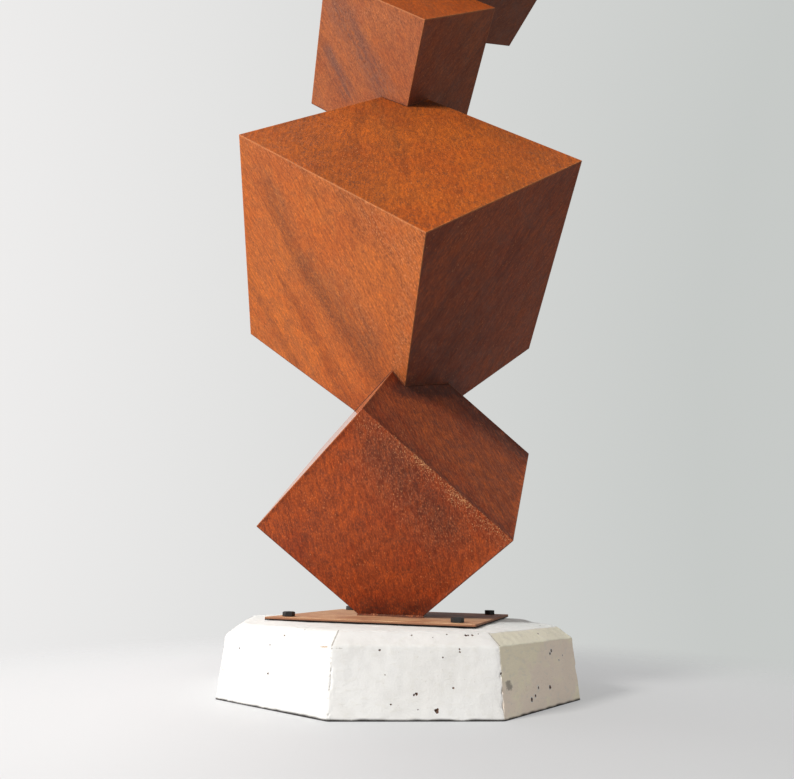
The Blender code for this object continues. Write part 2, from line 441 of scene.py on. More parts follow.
def rust(finish):
    """Weathering steel: a ground colour with clouds, runs down the slope, stains, grain, flecks and scale,
    with painted light and shade in the sheets' tones, dark strokes, downward edges and a sheen on one strip.
    """
    shader = Shader(finish.name, Specular_IOR_Level=0.2)
    sheet = shader.mapped(shader.places("sheet"), shift=(finish.seed, 0.0, 0.0))
    runs = shader.mapped(sheet, scale=(1.0, 0.1, 1.0))
    drift = shader.mapped(sheet, scale=(1.0, 0.38, 1.0))

    cloud = shader.noise(sheet, 0.1, 3.0, 0.55, 0.3)
    patch = shader.noise(sheet, 0.022, 4.0, 0.65)
    broad_run = shader.noise(runs, 0.05, 3.0, 0.5, 0.15)
    fine_run = shader.noise(runs, 0.01)
    hatch = shader.noise(shader.mapped(sheet, scale=(1.0, 0.22, 1.0)), 0.0044, 3.0, 0.7)
    grain = shader.noise(drift, 0.003, 3.0, 0.7)
    dust = shader.noise(drift, 0.0014, 2.0, 0.6)
    pale = shader.attribute("pale")
    polish = shader.attribute("polish")
    flakes = shader.attribute("flakes")

    red = shader.step(cloud + (patch - 0.5) * 0.6, 0.44, 0.66) * finish.red
    warm = shader.step(cloud + (fine_run - 0.5) * 0.4, 0.48, 0.3) * 0.45 + shader.attribute("glow")
    brown = shader.step(broad_run + (fine_run - 0.5) * 0.5, 0.5, 0.7) * finish.brown
    # Dark strokes: rust stains, and painted shade and painted shadow near the joints and on the sheet away
    # from the light
    dark = shader.attribute("dark") * shader.step(patch, 0.2, 0.55)
    bloom = shader.step(broad_run + (cloud - 0.5) * 0.6, 0.42, 0.28) * finish.bloom * 0.5
    bloom += shader.attribute("bloom")
    bloom_grain = shader.step(grain + (fine_run - 0.5) * 0.8, 0.28, 0.6) * 0.95
    strength = 0.3 + finish.flecks
    scale = shader.step(dust + (patch - 0.5) * 0.5 - dark * 0.09, 0.42, 0.3) * 0.5
    fleck = shader.step(dust + flakes * 0.1 + pale * 0.03, 0.62, 0.72)
    fleck_where = shader.step(fine_run + patch * 0.5, 0.72, 0.92) * finish.flecks + flakes * 0.5 + pale
    worn = shader.attribute("rim") + (patch - 0.5) * 0.8 + (grain - 0.5) * 0.8

    # Sheets facing up and the sheet facing away from the light get their own colours, as painted light and
    # shade
    colour = shader.mix(shader.attribute("upper"), finish.lower, finish.upper)
    colour = shader.layers(
        shader.mix(shader.attribute("sheltered"), colour, finish.sheltered),
        (red, REDDER),
        (warm * shader.step(patch, 0.25, 0.6), WARMER),
        (brown, BROWNER),
        (dark * 0.6, DARKER),
        (bloom * bloom_grain, DULLER),
        (shader.step(hatch, 0.54, 0.38) * strength * 0.7, BROWNER),
        (shader.step(hatch, 0.5, 0.64) * strength, WARMER),
        (shader.step(grain, 0.54, 0.38) * strength * 0.6, BROWNER),
        (shader.step(dust, 0.5, 0.64) * strength, BRIGHTER),
        blend="MULTIPLY",
    )
    colour = shader.layers(
        colour,
        (pale * shader.step(grain + (dust - 0.5) * 0.8, 0.46, 0.62) * 0.38, RUST_PALE),
        (scale, RUST_AND_SHADE_DARK),
        (fleck * fleck_where, RUST_FLECK),
        (shader.step(worn, 0.45, 0.95) * 0.18, RUST_FLECK),
        # Painted shade along the edges between sheets that face down
        (shader.attribute("under") * 0.85, RUST_AND_SHADE_DARK),
        # Painted sheen on the lower cube's strip
        (polish * shader.step(patch + fine_run, 0.6, 1.3) * 0.7, STRIP_SHEEN),
    )
    heights = grain * 0.0003 + dust * 0.00018 + patch * 0.0004
    bump = shader.bump((heights + fleck * flakes * 0.0004) * (1.0 - polish * 0.8))
    roughness = 0.66 + (patch - 0.5) * 0.3 + bloom * 0.1 - polish * 0.5
    return shader.finish(Base_Color=colour, Roughness=roughness, Normal=bump)


def rusty_plate():
    """Rolled plate with streaks along it: pale on top as partly painted light, darker on its saw-cut edges as
    partly painted shade, with a painted shadow on its rear right part and a painted shadow line at the foot
    of its edges.
    """
    shader = Shader("rusty_plate", Specular_IOR_Level=0.08)
    places = shader.places()
    turned = shader.mapped(places, turn=(0, 0, PLATE_TURN))
    streak = shader.noise(shader.mapped(turned, scale=(0.1, 1.0, 1.0)), 0.006, 4.0, 0.6)
    cloud = shader.noise(places, 0.035)
    grain = shader.noise(places, 0.0022, 3.0, 0.65)
    height = shader.axis(places, "Z")
    right = shader.axis(places, "X")
    rear = shader.axis(places, "Y") + (cloud - 0.5) * 0.08
    shaded = shader.step(rear, -0.05, 0.005) * shader.step(right, -0.02, 0.03)
    sawn_and_shade = shader.step(height, PLATE_TOP - 0.0001, PLATE_TOP - 0.0006)
    colour = shader.layers(
        shader.mix(shader.step(streak, 0.36, 0.62), PLATE_DULL, PLATE_PALE),
        # Painted shadow of the lower cube on the plate's rear right part
        (shaded * 0.92, PLATE_SHADED),
        (shader.step(cloud, 0.44, 0.62) * 0.6, PLATE_PATCH),
        (shader.step(grain, 0.56, 0.7) * 0.4, RUST_AND_SHADE_DARK),
        # Painted shade on the edges, and a painted shadow line at their foot
        (sawn_and_shade * 0.95, PLATE_SAWN_AND_SHADE),
        (shader.step(height, PLATE_TOP - 0.002, PLATE_TOP - 0.0027), PLATE_FOOT),
    )
    relief = streak * 0.0002 + grain * 0.0002
    return shader.finish(Base_Color=colour, Roughness=0.5 + cloud * 0.25, Normal=shader.bump(relief))


def weld_rust(name, first, second):
    """Weld metal: rust of two colours on dark lumps."""
    shader = Shader(name, Roughness=0.7, Specular_IOR_Level=0.25)
    places = shader.places()
    cloud = shader.noise(places, 0.012)
    grain = shader.noise(places, 0.0016)
    colour = shader.mix(shader.step(cloud, 0.4, 0.6), first, second)
    colour = shader.mix(shader.step(grain, 0.5, 0.68) * 0.7, colour, RUST_AND_SHADE_DARK)
    return shader.finish(Base_Color=colour, Normal=shader.bump(grain * 0.0003))


def flake_rust():
    shader = Shader("flake_rust", Roughness=0.8)
    tone = shader.noise(shader.places(), 0.004, 2.0, 0.6)
    colour = shader.mix(shader.step(tone, 0.4, 0.62), (0.36, 0.12, 0.045), RUST_FLECK)
    return shader.finish(Base_Color=colour)


def black_steel():
    """Black bolt steel with a little dust and rust in its grain."""
    shader = Shader("black_steel", Metallic=0.35)
    places = shader.places()
    grain = shader.noise(places, 0.0012)
    dust = shader.noise(places, 0.006)
    colour = shader.mix(shader.step(dust, 0.48, 0.66) * 0.6, (0.018, 0.019, 0.02), (0.06, 0.055, 0.05))
    colour = shader.mix(shader.step(grain, 0.6, 0.72) * 0.5, colour, (0.1, 0.045, 0.025))
    return shader.finish(Base_Color=colour, Roughness=0.42 + dust * 0.3, Normal=shader.bump(grain * 0.00012))


# The plinth's colours, with lighter ones for its right chamfers and its top as painted light, a grey for
# soiling and a dark line that carry painted shade along its foot, and tints that warm its right sides and
# cloud them with pink as painted warm shade
PLASTER_WHITE = (0.755, 0.748, 0.732)
PLASTER_CREAM = (0.73, 0.718, 0.695)
PLASTER_CHAMFER = (0.95, 0.92, 0.74)
PLASTER_TOP = (0.89, 0.925, 0.905)
PLASTER_WORN = (0.66, 0.64, 0.58)
PLASTER_GRIME_AND_SHADE = (0.27, 0.245, 0.21)
PLASTER_STAIN = (0.42, 0.27, 0.15)
PLASTER_SPECK = (0.42, 0.36, 0.3)
PLASTER_FOOT = (0.014, 0.011, 0.01)
YELLOWER = (1.22, 1.11, 0.87)
PINKER = (0.98, 0.935, 1.03)


def white_plaster():
    """Painted cast stone: cloudy off-white, with painted light on its top and right chamfers, painted warm
    shade on its right sides, dirty arrises, painted shade along its foot and brown stains, where the
    attributes have them.
    """
    shader = Shader("white_plaster", Roughness=0.75, Specular_IOR_Level=0.3)
    places = shader.places()
    cloud = shader.noise(places, 0.07, 4.0, 0.6)
    brushed = shader.noise(shader.mapped(places, scale=(1.0, 1.0, 2.2)), 0.01, 4.0, 0.6)
    grain = shader.noise(places, 0.002)
    dirt_and_shade = shader.attribute("dirt_and_shade")
    warm = shader.attribute("warm")
    grime_and_shade = shader.step(dirt_and_shade + (brushed - 0.5) * 0.5 + (grain - 0.5) * 0.9, 0.32, 0.75)
    brown = shader.step(shader.attribute("stain") + (grain - 0.5) * 1.1, 0.3, 0.85)
    speck = shader.step(grain + (cloud - 0.5) * 0.3, 0.7, 0.78)
    colour = shader.layers(
        shader.mix(shader.step(cloud, 0.38, 0.66), PLASTER_WHITE, PLASTER_CREAM),
        # Painted warm shade on the sides that face right
        (warm, YELLOWER),
        (warm * shader.step(cloud, 0.43, 0.58), PINKER),
        blend="MULTIPLY",
    )
    colour = shader.layers(
        colour,
        # Painted light on the right chamfers and on the top
        (shader.attribute("chamfer"), PLASTER_CHAMFER),
        (shader.attribute("level"), PLASTER_TOP),
        (shader.step(brushed, 0.5, 0.7) * 0.3, PLASTER_WORN),
        # Grey soiling that also carries painted shade along the foot, then a painted shade line at the very
        # foot
        (grime_and_shade * 0.8, PLASTER_GRIME_AND_SHADE),
        (brown * 0.8, PLASTER_STAIN),
        (shader.attribute("foot"), PLASTER_FOOT),
        (speck * 0.6, PLASTER_SPECK),
    )
    height = brushed * 0.0005 + grain * 0.0002
    return shader.finish(Base_Color=colour, Normal=shader.bump(height), Roughness=0.7 + cloud * 0.2)


def pit_brown():
    """The raw casting inside the pits: brown, crumbly and dusty."""
    shader = Shader("pit_brown", Roughness=0.9)
    grain = shader.noise(shader.places(), 0.0014, 3.0, 0.65)
    colour = shader.mix(shader.step(grain, 0.4, 0.62), (0.055, 0.03, 0.022), (0.21, 0.11, 0.07))
    return shader.finish(Base_Color=colour, Normal=shader.bump(grain * 0.0004))


Cube = namedtuple("Cube", "centre edge axes")


def cube_frame(node):
    """Finds a cube's centre, edge and three rising axes, in order of heading, from its CAD solid."""
    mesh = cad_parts[node].data
    points = gather(mesh.vertices, "co", 3)
    normals = gather(mesh.polygons, "normal", 3)
    axes = []
    for normal in normals[np.argsort(-gather(mesh.polygons, "area"))]:
        if all(abs(normal @ axis) < 0.2 for axis in axes):
            axes.append(normal if normal[2] > 0 else -normal)
        if len(axes) == 3:
            break
    axes.sort(key=lambda axis: atan2(axis[1], axis[0]) % tau)
    axes = np.array(axes)
    spans = points @ axes.T
    low = spans.min(axis=0)
    high = spans.max(axis=0)
    return Cube((low + high) / 2 @ axes, (high - low).mean(), axes)


def grid_quads(rows, columns):
    """The faces of a grid of points, as the numbers of their corners."""
    number = np.arange(rows * columns).reshape(rows, columns)
    corners = [number[:-1, :-1], number[1:, :-1], number[1:, 1:], number[:-1, 1:]]
    return np.stack(corners, axis=-1).reshape(-1, 4)


def stations(half):
    """Places across a sheet from edge to edge: the seam's own stations at both ends, wider steps between."""
    close = np.array(SEAM_STATIONS) * SEAM_RADIUS
    count = int(2 * (half - close[-1]) / SHEET_STEP)
    middle = np.linspace(-half + close[-1], half - close[-1], count)
    return np.concatenate([-half + close[:-1], middle, half - close[:-1][::-1]])


def seam_relief(local, half, axis, side, flaky):
    """How far each point of one sheet sinks below its seams, which stand proud of it."""
    others = [i for i in range(3) if i != axis]
    distances = half - np.abs(local[:, others]).max(axis=1)
    sunk = SEAM_PROUD * ease(0.2, 1.0, distances / SEAM_WIDTH)
    if flaky and (axis, side) in (FRONT, TOP):
        across = half - (local[:, 2] if axis == 0 else -local[:, 0])
        lumps = 1 + 0.3 * ripples(local, 0.016, 5)
        proud = ease(0.0, 0.6, distances / SEAM_WIDTH) * ease(0.15, 1.0, across / FLAKY_SEAM_WIDTH)
        sunk += FLAKY_SEAM_PROUD * proud * lumps
    return sunk


def cube_mesh(name, cube, seed, flaky=False):
    """Six wavy sheets with rounded, slightly proud seams, as one closed mesh."""
    half = cube.edge / 2
    across = stations(half)
    count = len(across)
    u, v = [grid.ravel() for grid in np.meshgrid(across, across, indexing="ij")]
    quads = grid_quads(count, count)
    points = []
    faces = []
    for axis in range(3):
        for side in (-1, 1):
            local = np.empty((count * count, 3))
            local[:, axis] = side * half
            local[:, (axis + 1) % 3] = u
            local[:, (axis + 2) % 3] = v
            inner = np.clip(local, -half + SEAM_RADIUS, half - SEAM_RADIUS)
            outward = unit(local - inner)
            edge_distance = half - np.abs(local[:, [(axis + 1) % 3, (axis + 2) % 3]]).max(axis=1)
            wave = SHEET_WAVE * (1 + ripples(local, SHEET_WAVELENGTH, seed + len(faces))) / 2
            sunk = wave * ease(0.0, WAVE_FADE, edge_distance) + seam_relief(local, half, axis, side, flaky)
            shaped = inner + outward * SEAM_RADIUS
            shaped[:, axis] -= side * sunk
            points.append(shaped)
            faces.append((quads if side > 0 else quads[:, ::-1]) + len(faces) * count * count)
    points = np.concatenate(points)
    faces = np.concatenate(faces)
    return make_mesh(name, cube.centre + points @ cube.axes, faces)


def settle(shape, mesh):
    """Writes a working shape into a mesh and lets it go."""
    shape.to_mesh(mesh)
    shape.free()
    return mesh


def weld_doubles(mesh, distance=0.00005):
    shape = bmesh.new()
    shape.from_mesh(mesh)
    bmesh.ops.remove_doubles(shape, verts=shape.verts, dist=distance)
    bmesh.ops.recalc_face_normals(shape, faces=shape.faces)
    settle(shape, mesh)


def box_tool(name, size, axes, centre):
    """A plain box for cutting with, its sides along the given axes."""
    shape = bmesh.new()
    bmesh.ops.create_cube(shape, size=1.0)
    turned = Matrix(np.asarray(axes).T.tolist()).to_4x4()
    place = Matrix.Translation(centre) @ turned @ Matrix.Diagonal((*size, 1.0))
    bmesh.ops.transform(shape, matrix=place, verts=shape.verts)
    return make_piece(name, settle(shape, bpy.data.meshes.new(name)))


def paint(mesh, name, values):
    """Writes one number for each vertex, for a material to read."""
    layer = mesh.attributes.new(name, "FLOAT", "POINT")
    layer.data.foreach_set("value", np.asarray(values, dtype=np.float32))


def paint_corners(mesh, name, values):
    """Writes one number, or one vector, for each corner of each face, so that it can change at a seam."""
    values = np.asarray(values, dtype=np.float32)
    kind, field = ("FLOAT", "value") if values.ndim == 1 else ("FLOAT_VECTOR", "vector")
    layer = mesh.attributes.new(name, kind, "CORNER")
    layer.data.foreach_set(field, values.ravel())


def gather(items, field, width=1, kind=float):
    """One field of all the vertices, corners or faces of a mesh, as an array."""
    values = np.empty(len(items) * width, dtype=kind)
    items.foreach_get(field, values)
    return values.reshape(-1, width) if width > 1 else values


def to_pixels(points):
    """Where points fall in the photograph, in pixels."""
    right, up, ahead = [np.array(axis) for axis in camera_axes()]
    away = points - np.array(CAMERA_PLACE)
    depth = away @ ahead
    across = CENTRE_X + FOCAL_PIXELS * (away @ right) / depth
    down = CENTRE_Y - FOCAL_PIXELS * (away @ up) / depth
    return np.stack([across, down], axis=-1)


def stroke(pixels, x0, y0, x1, y1, width, amount):
    """How strongly a soft stroke covers each pixel: its amount along its middle, nothing a width away."""
    start = np.array((x0, y0))
    along = np.array((x1, y1)) - start
    share = np.clip((pixels - start) @ along / (along @ along), 0.0, 1.0)
    distance = np.linalg.norm(pixels - start - share[:, None] * along, axis=1)
    return amount * (1 - ease(0.0, width, distance))


def paint_cube(name, mesh, cube, flaky):
    """Tells the rust which way each sheet slopes, which sheets get painted light and shade colours, where its
    rim wears, where painted shade darkens downward edges, and where stains, painted shade, a painted sheen
    and flakes lie.
    """
    half = cube.edge / 2
    points = gather(mesh.vertices, "co", 3)
    local = (points - cube.centre) @ cube.axes.T
    edge_distance = half - np.sort(np.abs(local), axis=1)[:, 1]
    rim = 1 - ease(0.0, 0.004, edge_distance)
    pair = np.argsort(np.abs(local), axis=1)[:, 1:]
    downward = (np.take_along_axis(local, pair, axis=1) < 0).all(axis=1)
    # Painted shade along the edges between two sheets that face down, where rim wear stops
    under = (1 - ease(0.0, 0.0025, edge_distance)) * (downward & (flaky | (pair == 2).any(axis=1)))
    flakes = np.zeros(len(local))
    if flaky:
        front = ease(-0.003, -0.0005, -local[:, 0] - half)
        across = half - local[:, 2]
        band = 1 - ease(0.006, 0.034, across + 0.008 * ripples(local, 0.05, 9))
        along = np.exp(-((local[:, 1] / (0.3 * cube.edge)) ** 2))
        flakes = front * band * (0.35 + 0.65 * along) * (0.4 + 0.6 * ease(-0.8, 0.7, ripples(local, 0.04, 4)))
        rim *= ease(0.0, 0.012, np.hypot(half - local[:, 2], half + local[:, 0]))
    paint(mesh, "rim", rim * (1 - under))
    paint(mesh, "under", under)
    paint(mesh, "flakes", flakes)

    vertices = gather(mesh.loops, "vertex_index", kind=np.int32)
    counts = gather(mesh.polygons, "loop_total", kind=np.int32)
    faces = np.repeat(np.arange(len(counts)), counts)
    facing = gather(mesh.polygons, "normal", 3) @ cube.axes.T
    axis = np.abs(facing).argmax(axis=1)
    side = np.sign(facing[np.arange(len(axis)), axis])
    outward = cube.axes[axis] * side[:, None]
    down = unit(-np.array((0.0, 0.0, 1.0)) + outward * outward[:, 2:3])
    level = np.cross(outward, down)
    place = points[vertices] - cube.centre
    across = (place * level[faces]).sum(axis=1)
    along = (place * down[faces]).sum(axis=1)
    sheet_number = (axis * 2 + (side > 0))[faces]
    paint_corners(mesh, "sheet", np.stack([across, along, sheet_number * 1.7], axis=-1))
    # Which sheets face up and which faces away from the light, for their painted light and shade colours
    paint_corners(mesh, "upper", (side > 0)[faces])
    paint_corners(mesh, "sheltered", ((axis == DARK[0]) & (side == DARK[1]))[faces])
    pixels = to_pixels(points[vertices])
    for kind in STROKE_KINDS:
        covered = np.zeros(len(vertices))
        for (stain, owner, sheet), marks in STAIN_AND_SHADE_STROKES.items():
            if (stain, owner) == (kind, name):
                here = ((axis == sheet[0]) & (side == sheet[1]))[faces]
                for mark in marks:
                    covered = np.maximum(covered, stroke(pixels, *mark) * here)
        paint_corners(mesh, kind, covered)


def make_cubes():
    names = list(FINISHES)
    cubes = {name: cube_frame(name) for name in names}
    for place, name in enumerate(names):
        cube = cubes[name]
        flaky = name == LOWER
        mesh = cube_mesh(name + "_sheets", cube, 100 * place, flaky)
        weld_doubles(mesh)
        piece = make_piece(name + "_sheets", mesh, rust(FINISHES[name]))
        if flaky:
            size = (2 * cube.edge, 2 * cube.edge, cube.edge)
            below = Vector(cube.centre)
            below.z = PLATE_TOP + SOCKET_GAP - cube.edge / 2
            cut(piece, box_tool("foot_cut", size, np.eye(3), below))
        if place + 1 < len(names):
            upper = cubes[names[place + 1]]
            grown = upper.edge + 2 * SOCKET_GAP
            cut(piece, box_tool("socket", (grown, grown, grown), upper.axes, upper.centre))
        paint_cube(name, piece.data, cube, flaky)
        piece.data.shade_smooth()
        piece.data.set_sharp_from_angle(angle=CUBE_CREASE)
        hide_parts(name)
        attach(piece, "root")
        if flaky:
            add_flakes(piece)
    return cubes


def foot_corners(cube, height):
    """Where the three edges that rise from a cube's lowest corner pass a level plane."""
    lowest = cube.centre - cube.edge / 2 * cube.axes.sum(axis=0)
    return [lowest + axis * (height - lowest[2]) / axis[2] for axis in cube.axes]


def meeting_lines(lower, upper):
    """The straight stretches along which the upper cube's lower faces leave the lower cube's upper faces."""
    lines = []
    for under in lower.axes:
        for over in upper.axes:
            along = np.cross(under, over)
            along /= np.linalg.norm(along)
            level = under @ lower.centre + lower.edge / 2
            facing = over @ upper.centre - upper.edge / 2
            start = np.linalg.solve((under, over, along), (level, facing, along @ lower.centre))
            low = -1.0
            high = 1.0
            for cube in (lower, upper):
                place = cube.axes @ (start - cube.centre)
                slope = cube.axes @ along
                for here, rise in zip(place, slope):
                    if abs(rise) > 1e-6:
                        ends = sorted(((-cube.edge / 2 - here) / rise, (cube.edge / 2 - here) / rise))
                        low = max(low, ends[0])
                        high = min(high, ends[1])
            if high - low > 0.001:
                lines.append((start + along * low, start + along * high))
    return lines


class Nodes(Tree):
    """A Geometry Nodes tree with named inputs."""

    def __init__(self, name, **inputs):
        self.group = bpy.data.node_groups.new(name, "GeometryNodeTree")
        super().__init__(self.group)
        sockets = self.group.interface
        sockets.new_socket("Geometry", in_out="INPUT", socket_type="NodeSocketGeometry")
        self.identifiers = {}
        for label, kind in inputs.items():
            socket = sockets.new_socket(label, in_out="INPUT", socket_type="NodeSocket" + kind)
            self.identifiers[label] = socket.identifier
        sockets.new_socket("Geometry", in_out="OUTPUT", socket_type="NodeSocketGeometry")
        self.start = self.nodes.new("NodeGroupInput").outputs
        self.end = self.nodes.new("NodeGroupOutput").inputs

    def given(self, label):
        """What comes in by one of the tree's own inputs."""
        return Value(self, self.start[label])

    def chance(self, low, high):
        """A random vector for each item, between two corners."""
        sockets = {0: low, 1: high, "Seed": self.given("Seed")}
        return self.node("FunctionNodeRandomValue", {"data_type": "FLOAT_VECTOR"}, sockets)

    def finish(self, points, shape, scale, turn):
        """Ends the tree with a real copy of the shape on every point, in the finish that comes in."""
        sockets = {"Points": points, "Instance": shape, "Scale": scale, "Rotation": turn}
        copies = self.node("GeometryNodeInstanceOnPoints", {}, sockets)
        real = self.node("GeometryNodeRealizeInstances", {}, {"Geometry": copies})
        sockets = {"Geometry": real, "Material": self.given("Finish")}
        self.feed(self.end[0], self.node("GeometryNodeSetMaterial", {}, sockets))

    def run(self, piece, **values):
        """Runs the tree on a piece with the values of its named inputs, and leaves a plain mesh."""
        modifier = piece.modifiers.new(self.group.name, "NODES")
        modifier.node_group = self.group
        for label, value in values.items():
            modifier[self.identifiers[label]] = value
        bake(piece)


def bead_nodes():
    """Weld bead: overlapping drops of metal in a row along every edge of the mesh that comes in."""
    nodes = Nodes("weld_bead", Radius="Float", Step="Float", Seed="Int", Finish="Material")
    line = nodes.node("GeometryNodeMeshToCurve", {}, {"Mesh": nodes.given("Geometry")})
    sockets = {"Curve": line, "Length": nodes.given("Step")}
    drops = nodes.node("GeometryNodeResampleCurve", {"mode": "LENGTH"}, sockets)
    drop = nodes.node("GeometryNodeMeshIcoSphere", {}, {"Radius": nodes.given("Radius"), "Subdivisions": 2})
    uneven = nodes.chance((0.72, 0.72, 0.72), (1.2, 1.2, 1.2))
    turned = nodes.chance((0.0, 0.0, 0.0), (tau, tau, tau))
    nodes.finish(drops, drop, uneven, turned)
    return nodes


def add_bead(name, nodes, lines, radius, step, seed, finish):
    """A bead of weld along straight lines, riding with the rest."""
    points = [point for line in lines for point in line]
    edges = [(2 * i, 2 * i + 1) for i in range(len(lines))]
    bead = make_piece(name, make_mesh(name, points, [], edges), finish)
    nodes.run(bead, Radius=radius, Step=step, Seed=seed, Finish=finish)
    bead.data.shade_smooth()
    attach(bead, "root")


def pixel_ray(x, y):
    """The direction from the camera through a pixel of the photograph."""
    right, up, ahead = camera_axes()
    sideways = right * ((x - CENTRE_X) / FOCAL_PIXELS)
    upward = up * ((y - CENTRE_Y) / FOCAL_PIXELS)
    return (ahead + sideways - upward).normalized()


def add_welds(cubes):
    """Thin ground beads where the cubes meet, and lumpier ones with tacks round the foot."""
    nodes = bead_nodes()
    finish = weld_rust("weld_rust", (0.11, 0.038, 0.02), (0.19, 0.05, 0.022))
    bright = weld_rust("tack_rust", (0.3, 0.085, 0.03), (0.44, 0.18, 0.085))
    names = list(cubes)
    for place, name in enumerate(names[1:]):
        lines = meeting_lines(cubes[names[place]], cubes[name])
        add_bead(name + "_weld", nodes, lines, BEAD_RADIUS, BEAD_STEP, place, finish)
    corners = foot_corners(cubes[LOWER], PLATE_TOP + FOOT_BEAD_RADIUS * 0.4)
    lines = [(corners[i], corners[(i + 1) % 3]) for i in range(3)]
    add_bead("foot_weld", nodes, lines, FOOT_BEAD_RADIUS, BEAD_STEP, 7, finish)
    front = np.cross(corners[1] - corners[2], (0.0, 0.0, 1.0))
    camera = np.array(CAMERA_PLACE)
    tacks = []
    for ends in FOOT_TACKS:
        tack = []
        for x, y in ends:
            ray = np.array(pixel_ray(x, y))
            spot = camera + ray * (front @ (corners[1] - camera) / (front @ ray))
            spot[2] = PLATE_TOP + TACK_RADIUS * 0.5
            tack.append(spot)
        tacks.append(tack)
    add_bead("foot_tacks", nodes, tacks, TACK_RADIUS, BEAD_STEP, 3, bright)


def flake_nodes():
    """Scales of rust: thin scraps scattered where the flakes attribute is high, all a little askew."""
    nodes = Nodes("rust_flakes", Density="Float", Size="Float", Seed="Int", Finish="Material")
    where = nodes.node("GeometryNodeInputNamedAttribute", {"data_type": "FLOAT"}, {"Name": "flakes"})
    density = where.math("POWER", 2.0) * nodes.given("Density")
    sockets = {"Mesh": nodes.given("Geometry"), "Density": density, "Seed": nodes.given("Seed")}
    spots = nodes.node("GeometryNodeDistributePointsOnFaces", {}, sockets)
    size = nodes.given("Size")
    sockets = {"Vertices": 6, "Radius Top": size * 0.6, "Radius Bottom": size, "Depth": size * 0.35}
    scrap = nodes.node("GeometryNodeMeshCone", {}, sockets)
    uneven = nodes.chance((0.35, 0.35, 0.4), (1.15, 1.0, 1.0))
    sockets = {0: spots.beside(2), 1: nodes.chance((-0.35, -0.35, 0.0), (0.35, 0.35, tau))}
    askew = nodes.node("FunctionNodeRotateRotation", {"rotation_space": "LOCAL"}, sockets)
    nodes.finish(spots, scrap, uneven, askew)
    return nodes


def add_flakes(sheets):
    finish = flake_rust()
    flakes = make_piece("seam_flakes", sheets.data.copy(), finish)
    flake_nodes().run(flakes, Density=FLAKE_DENSITY, Size=FLAKE_SIZE, Seed=2, Finish=finish)
    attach(flakes, "root")


def spread(length, step, fine):
    """Places from -1 to 1 along an edge of that length, close together near both ends."""
    near = np.arange(0, 9 * fine, fine)
    middle = np.linspace(near[-1] + step, length - near[-1] - step, int((length - 2 * near[-1]) / step) - 1)
    return np.concatenate([near, middle, length - near[::-1]]) / length * 2 - 1


def plinth_profile(foot, height):
    """Apothem and height of each row, from the underside's middle out and up to the middle of the top."""
    belt = foot - WALL_SLOPE_RUN
    rim = belt - CHAMFER_RUN
    corners = [(0.0, 0.0), (foot, 0.0), (belt, height - CHAMFER_DROP), (rim, height), (0.0, height)]
    rows = []
    for (r0, z0), (r1, z1) in zip(corners[:-1], corners[1:]):
        length = np.hypot(r1 - r0, z1 - z0)
        step = PLINTH_STEP if length < 0.1 else 4 * PLINTH_STEP
        for share in (spread(length, step, PLINTH_ARRIS_STEP)[:-1] + 1) / 2:
            rows.append((r0 + (r1 - r0) * share, z0 + (z1 - z0) * share))
    rows.append(corners[-1])
    return np.array(rows)


def plinth_planes(foot, height):
    """Outward normals and offsets of the walls, the chamfers, the top and the underside."""
    normals = [(0.0, 0.0, 1.0), (0.0, 0.0, -1.0)]
    offsets = [height, 0.0]
    belt = foot - WALL_SLOPE_RUN
    wall_slope = atan2(WALL_SLOPE_RUN, height - CHAMFER_DROP)
    chamfer_slope = atan2(CHAMFER_RUN, CHAMFER_DROP)
    for slope, apothem, level in ((wall_slope, foot, 0.0), (chamfer_slope, belt, height - CHAMFER_DROP)):
        for side in range(PLINTH_SIDES):
            heading = side * tau / PLINTH_SIDES
            normals.append((cos(heading) * cos(slope), sin(heading) * cos(slope), sin(slope)))
            offsets.append(apothem * cos(slope) + level * sin(slope))
    return np.array(normals), np.array(offsets)


def plinth_mesh(name, foot, height):
    """The octagon as a fine grid, finest near its arrises; wear_plinth softens and chips them and makes the
    faces a little uneven.
    """
    rows = plinth_profile(foot, height)
    half_side = np.tan(pi / PLINTH_SIDES)
    across = spread(2 * foot * half_side, PLINTH_STEP, PLINTH_ARRIS_STEP)
    points = []
    faces = []
    quads = grid_quads(len(rows), len(across))[:, [0, 3, 2, 1]]
    for side in range(PLINTH_SIDES):
        heading = side * tau / PLINTH_SIDES
        out = np.array((cos(heading), sin(heading), 0.0))
        along = np.array((-sin(heading), cos(heading), 0.0))
        apothem = rows[:, 0][:, None, None]
        level = rows[:, 1][:, None, None] * np.array((0.0, 0.0, 1.0))
        points.append((apothem * (out + across[None, :, None] * half_side * along) + level).reshape(-1, 3))
        faces.append(quads + side * len(rows) * len(across))
    mesh = make_mesh(name, np.concatenate(points), np.concatenate(faces))
    weld_doubles(mesh)
    return mesh


